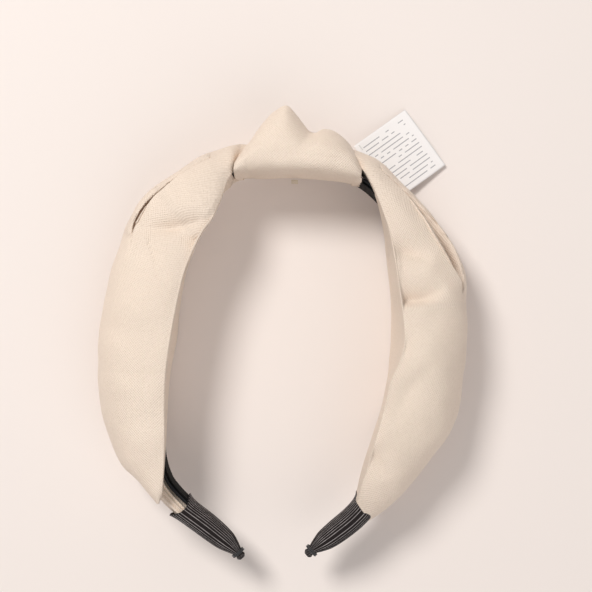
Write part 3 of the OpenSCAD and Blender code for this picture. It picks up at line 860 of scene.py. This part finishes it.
def gather_rows(side):
    """The pleated sections between a wing and its sleeve."""
    s = np.linspace(*GATHER[side], GATHER_SECTIONS)
    turn = full_turn(GATHER_RING)
    share = np.linspace(0, 1, len(s))[:, None]
    mid = (GATHER_IN + GATHER_OUT) / 2
    half_u = (GATHER_OUT - GATHER_IN) / 2 * (1 + FULLER_OUT * (1 - share))
    half_z = GATHER_HALF * (1 + FULLER_WIDE * (1 - share))
    wander = PLEAT_WANDER * np.sin(3 * turn) + PLEAT_TWIST * share
    crimp = 1 + PLEAT_DEPTH * np.cos(PLEATS * 2 * turn + wander)
    u = mid + half_u * np.cos(turn) * crimp
    z = MID_Z + half_z * np.sin(turn) * crimp
    return frame_points(side, s[:, None] * np.ones_like(u), u, z)


for side, word in SIDES.items():
    gather = closed_piece(f"{word}_gathered_end", gather_rows(side), SATIN)
    give_thickness(gather, GATHER_THICK)
    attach(gather, f"{word}_arm")


# ---- Tip sleeves -------------------------------------------------------------
# A sleeve of black ribbed elastic is pulled over each tip to cover the cloth's ends. Its
# mouth flares at the corners, and its tail is gathered to a small hard nub.
SLEEVE_LENGTH = 31.0
SLEEVE_THICK = 0.6
SLEEVE_STEPS = 10
SLEEVE_SQUARE = 0.72
RIBS = 60
STEPS_A_RIB = 6
ELASTIC_RISE = 0.15
# The tail's gathers: how many, and how far they wander round it
TAIL_GATHERS, GATHER_WANDER = 9, 2.2
# Share of the length: half width, half depth, offset outwards, height of the gathers
SLEEVE_SHAPE = [
    (0.0, 4.9, 7.2, 3.0, 0.0), (0.06, 4.7, 7.0, 2.9, 0.0), (0.3, 4.7, 6.9, 2.2, 0.0),
    (0.5, 4.5, 6.3, 1.5, 0.02),
    (0.68, 3.9, 5.2, 0.8, 0.05), (0.8, 2.7, 3.8, 0.3, 0.1), (0.88, 1.7, 2.6, 0.0, 0.16),
    (0.93, 1.35, 1.9, 0.0, 0.14),
    (0.97, 1.6, 2.0, 0.0, 0.12), (1.0, 1.0, 1.3, 0.0, 0.1),
]
# How far the mouth's corners spread and its edge slants, and the share where each fades
MOUTH_SPREAD, SPREAD_FADE = 0.9, 0.05
MOUTH_BOW, MOUTH_SKEW, SKEW_TURN, SLANT_FADE = 1.6, 0.5, 0.6, 0.08


def sleeve_rows(side, turn):
    """The ribbed sections of a sleeve, from its mouth to its nub."""
    shape = smooth(SLEEVE_SHAPE, SLEEVE_STEPS)
    t, half_u, half_z, offset, crimp = (shape[:, k:k + 1] for k in range(5))
    rib = ELASTIC_RISE * np.clip(1 - t, 0.3, 1) * (np.cos(RIBS * turn / 2) ** 6 - 0.3)
    gathers = 1 + crimp * np.cos(TAIL_GATHERS * turn + GATHER_WANDER * np.sin(2 * turn))
    u = offset + (half_u + rib) * squared(np.cos(turn), SLEEVE_SQUARE) * gathers
    z = MID_Z + (half_z + rib) * squared(np.sin(turn), SLEEVE_SQUARE) * gathers
    corner = np.exp(-t / SPREAD_FADE) * MOUTH_SPREAD
    u = u + corner * np.cos(turn) ** 3
    skew = MOUTH_SKEW * np.sin(2 * turn + SKEW_TURN)
    slant = np.exp(-t / SLANT_FADE) * (MOUTH_BOW * np.cos(turn) ** 2 + skew)
    s = ARM_RUN[side][-1] - SLEEVE_LENGTH * (1 - t) - slant
    return frame_points(side, s, u, z)


def elastic_material():
    """Black elastic whose ribs carry a painted pale sheen line along their crests, uneven in
    strength.
    """
    material, tree, shader = new_material("ribbed elastic", (0.01, 0.01, 0.011), 0.8, 0.12)
    apart = tree.nodes.new("ShaderNodeSeparateXYZ")
    tree.links.new(cloth_map(tree), apart.inputs["Vector"])
    wave = math_node(tree, "COSINE",
                     math_node(tree, "MULTIPLY", apart.outputs["Y"], 2 * math.pi))
    crests = ranged(tree, wave, From_Min=0.72, From_Max=1.0)
    uneven = use_group(tree, UNEVEN, Blotch_Size=260.0, Speck_Size=2800.0)
    # Painted sheen: a pale line along each rib's crest, varied by the blotches
    crest_sheen = math_node(tree, "MULTIPLY", crests, uneven.outputs["Blotch"])
    tone = two_tones(tree, crest_sheen, (0.018, 0.014, 0.014), (0.72, 0.66, 0.65))
    tree.links.new(tone, shader.inputs["Base Color"])
    raise_surface(tree, shader, uneven.outputs["Speck"], 0.5, 0.00015)
    return material


ELASTIC = elastic_material()
for side, word in SIDES.items():
    turn = full_turn(RIBS * STEPS_A_RIB)
    rows = sleeve_rows(side, turn)
    # Round the sleeve the cloth map counts ribs, for the painted sheen lines on their crests
    count = np.tile(np.r_[turn, 2 * math.pi] / (2 * math.pi) * RIBS / 2, (len(rows), 1))
    sleeve = closed_piece(f"{word}_elastic_sleeve", rows, ELASTIC, uv_ring=count)
    give_thickness(sleeve, SLEEVE_THICK)
    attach(sleeve, f"{word}_arm")
    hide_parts(f"{word}_tip_sleeve")


# ---- Sewing threads ----------------------------------------------------------
# Black thread binds each sleeve's tail and holds its mouth, and cream thread tacks the
# knot to the strip. They are short lengths of spun polyester.
def thread_material(name, dark, light):
    """Spun thread, with its twist as a tone and a bump."""
    material, tree, shader = new_material(name, light, 0.6)
    shader.inputs["Sheen Weight"].default_value = 0.2
    ply = add_node(tree, "ShaderNodeTexWave", Scale=900.0, Distortion=1.5)
    place = tree.nodes.new("ShaderNodeTexCoord")
    tree.links.new(place.outputs["Object"], ply.inputs["Vector"])
    twist = ply.outputs["Fac"]
    tree.links.new(two_tones(tree, twist, dark, light), shader.inputs["Base Color"])
    raise_surface(tree, shader, twist, 0.5, 0.0001)
    return material


THREADS = {
    "black": thread_material("black thread", (0.01, 0.01, 0.012), (0.05, 0.05, 0.055)),
    "cream": thread_material("cream thread", (0.55, 0.45, 0.34), (0.8, 0.7, 0.56)),
    "white": thread_material("white thread", (0.6, 0.6, 0.58), (0.85, 0.85, 0.83)),
}
for node, colour in (
    ("knot_tacks", "cream"), ("label_stitches", "white"),
    ("left_tip_thread", "black"), ("right_tip_thread", "black"),
    ("left_sleeve_stitches", "black"), ("right_sleeve_stitches", "black"),
):
    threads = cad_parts[node]
    threads.data.materials.clear()
    threads.data.materials.append(THREADS[colour])


# ---- Care label --------------------------------------------------------------
# A small white satin tape, cut square and caught by one edge in the seam behind the
# right wing. Its print is only rows of plain grey bars.
LABEL_START = (25.0, 76.2, 4.6)
LABEL_TURN = math.radians(-51)
LABEL_WIDE, LABEL_LONG = 28.5, 27.0
LABEL_SLOPE = math.radians(8)
LABEL_THICK = 0.22
# It starts this far above its seam, and bows and curls up by as much
LABEL_CLEAR, LABEL_CURL = 0.4, 0.5
LABEL_STEPS = (44, 42)
# Its rows and bars, in each metre; the part of a row that a bar fills; and the gaps' share
ROWS, BARS = 520.0, 620.0
BAR_FROM, BAR_TO = 0.4, 0.62
GAP_SHARE = 0.3
# Where the print starts and stops along and across the tape, in metres
MARGINS = (("X", 0.003, 0.0235), ("Y", 0.002, 0.0265))


def label_rows():
    """The tape's surface, sloping down from its seam with a slight bow and curl."""
    a = np.linspace(0, LABEL_WIDE, LABEL_STEPS[0])
    b = np.linspace(0, LABEL_LONG, LABEL_STEPS[1])
    across, along = np.meshgrid(a, b)
    lift = LABEL_CURL * np.sin(across / LABEL_WIDE * math.pi) * (along / LABEL_LONG) ** 2
    lift = lift + LABEL_CURL * (along / LABEL_LONG) ** 3
    run = along * math.cos(LABEL_SLOPE)
    c, s = math.cos(LABEL_TURN), math.sin(LABEL_TURN)
    x = LABEL_START[0] + across * c - run * s
    y = LABEL_START[1] + across * s + run * c
    z = LABEL_START[2] + LABEL_CLEAR - along * math.sin(LABEL_SLOPE) + lift
    return np.stack([x, y, z], -1)


def label_material():
    """White woven tape printed with rows of grey bars, broken at uneven places."""
    material, tree, shader = new_material("label tape", (0.86, 0.855, 0.85), 0.5)
    shader.inputs["Sheen Weight"].default_value = 0.15
    place = cloth_map(tree)
    weave = use_group(tree, WEAVE, Pitch=0.0006)
    tree.links.new(place, weave.inputs["Vector"])
    raise_surface(tree, shader, weave.outputs["Height"], 0.2, 0.00004)
    apart = tree.nodes.new("ShaderNodeSeparateXYZ")
    tree.links.new(place, apart.inputs["Vector"])

    def maths(operation, *values):
        return math_node(tree, operation, *values)

    row = maths("MULTIPLY", apart.outputs["Y"], ROWS)
    inside_row = maths("FRACT", row, 0.0)
    bars = maths("MULTIPLY", maths("GREATER_THAN", inside_row, BAR_FROM),
                 maths("LESS_THAN", inside_row, BAR_TO))
    words = add_node(tree, "ShaderNodeTexWhiteNoise", noise_dimensions="2D")
    step = tree.nodes.new("ShaderNodeCombineXYZ")
    bar = maths("FLOOR", maths("MULTIPLY", apart.outputs["X"], BARS), 0.0)
    tree.links.new(bar, step.inputs["X"])
    tree.links.new(maths("FLOOR", row, 0.0), step.inputs["Y"])
    tree.links.new(step.outputs["Vector"], words.inputs["Vector"])
    bars = maths("MULTIPLY", bars, maths("GREATER_THAN", words.outputs["Value"], GAP_SHARE))
    for axis, low, high in MARGINS:
        bars = maths("MULTIPLY", bars, maths("GREATER_THAN", apart.outputs[axis], low))
        bars = maths("MULTIPLY", bars, maths("LESS_THAN", apart.outputs[axis], high))
    tone = two_tones(tree, bars, (0.9, 0.87, 0.86), (0.42, 0.41, 0.42))
    tree.links.new(tone, shader.inputs["Base Color"])
    return material


label = grid_mesh("care_label_tape", label_rows(), around=False)
label.data.materials.append(label_material())
if label.data.polygons[0].normal.z < 0:
    label.data.flip_normals()
give_thickness(label, LABEL_THICK)
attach(label, "label")
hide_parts("care_label")


# ---- Surface, light and camera -----------------------------------------------
# The band lies on a plain pale blush surface. A soft lamp stands to the upper left, a wide
# weak one opposite lifts the shaded slopes, and a pale surround fills the shadows.
def floor_material():
    """Matt pale board."""
    material, tree, shader = new_material("pale surface", (0.86, 0.785, 0.745), 0.8, 0.2)
    uneven = use_group(tree, UNEVEN, Blotch_Size=9.0, Speck_Size=1200.0)
    raise_surface(tree, shader, uneven.outputs["Speck"], 0.1, 0.0001)
    return material


def add_lamp(name, way, distance, size, energy, color):
    """A round soft lamp out along a way from the band, turned back to it."""
    lamp = bpy.data.lights.new(name, "AREA")
    lamp.shape = "DISK"
    lamp.size = size
    lamp.energy = energy
    lamp.color = color
    stand = bpy.data.objects.new(name.replace(" ", "_"), lamp)
    stand.location = Vector(way) * distance
    stand.rotation_euler = Vector(way).to_track_quat("Z", "Y").to_euler()
    bpy.context.scene.collection.objects.link(stand)


bpy.ops.mesh.primitive_plane_add(size=3.0, location=(0, 0, 0))
floor = bpy.context.object
floor.name = "floor"
floor.data.materials.append(floor_material())

add_lamp("key lamp", (-0.5, 0.55, 1.0), 1.05, 0.42, 11.5, (1.0, 0.985, 0.96))
add_lamp("fill lamp", (0.45, -0.75, 0.8), 1.2, 1.6, 6.4, (1.0, 0.98, 0.97))

world = bpy.data.worlds.new("pale surround")
world.use_nodes = True
surround = world.node_tree.nodes["Background"]
surround.inputs["Color"].default_value = (1.0, 0.98, 0.97, 1)
surround.inputs["Strength"].default_value = 0.365
bpy.context.scene.world = world
bpy.context.scene.view_settings.view_transform = "Standard"

# The camera looks straight down on the band, turned a little, from a good arm's length
CAMERA_HEIGHT = 0.52
CAMERA_X, CAMERA_Y = 0.00444, 0.01317
CAMERA_TURN = math.radians(2.98)
SENSOR = 36
VIEW_WIDTH = 0.2368
VIEW_LEVEL = 0.022
camera_data = bpy.data.cameras.new("camera")
camera_data.sensor_width = SENSOR
camera_data.lens = SENSOR * (CAMERA_HEIGHT - VIEW_LEVEL) / VIEW_WIDTH
camera = bpy.data.objects.new("camera", camera_data)
camera.location = (CAMERA_X, CAMERA_Y, CAMERA_HEIGHT)
camera.rotation_euler = (0, 0, CAMERA_TURN)
bpy.context.scene.collection.objects.link(camera)
bpy.context.scene.camera = camera
